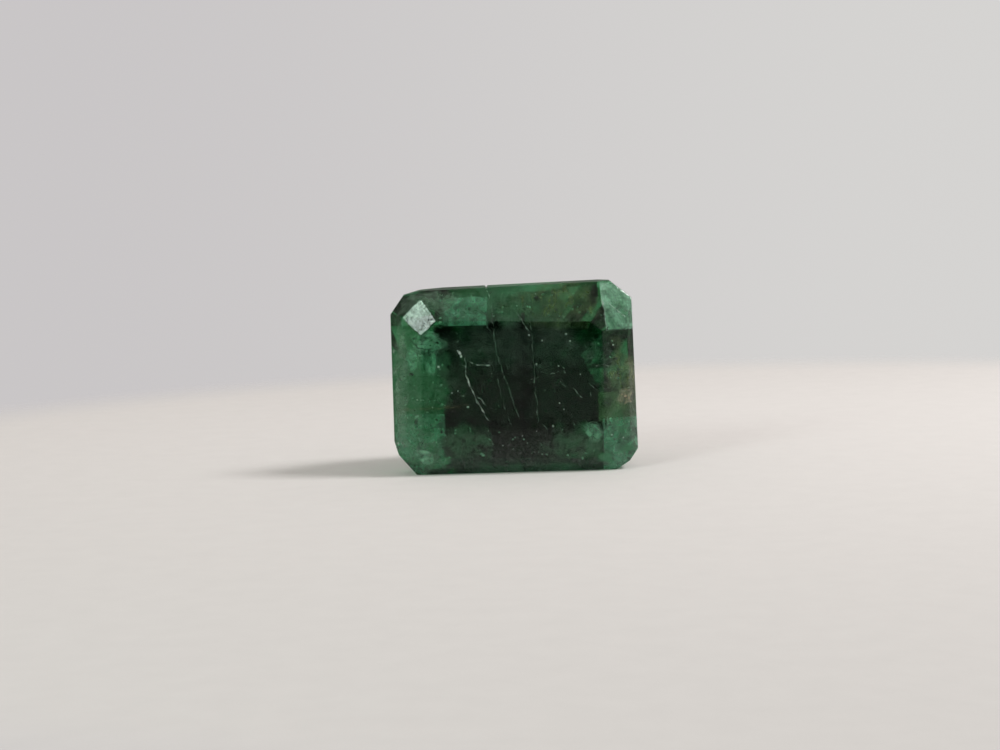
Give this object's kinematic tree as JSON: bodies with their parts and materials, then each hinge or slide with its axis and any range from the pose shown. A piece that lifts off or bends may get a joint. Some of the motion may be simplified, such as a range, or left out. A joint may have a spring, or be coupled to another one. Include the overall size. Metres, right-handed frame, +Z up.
{
  "type": "cut emerald gemstone",
  "caption": "Deep octagonal step-cut emerald with a thick girdle, standing on the flat of its long side, table to the front.",
  "frame": {"origin": "under the middle of the whole stone, table to keel, at the height of the surface that the lower long side of its girdle stands on", "axes": "+X along the long side, -Y out of the table at the front, +Y towards the keel at the back, +Z up"},
  "size_m": [0.012, 0.008, 0.0093],
  "materials": {
    "emerald": "see-through dark green beryl with clouds, healed cracks and pale specks inside, and a worn, finely scratched polish"
  },
  "bodies": {
    "root": {"emerald": "emerald"}
  },
  "joints": []
}
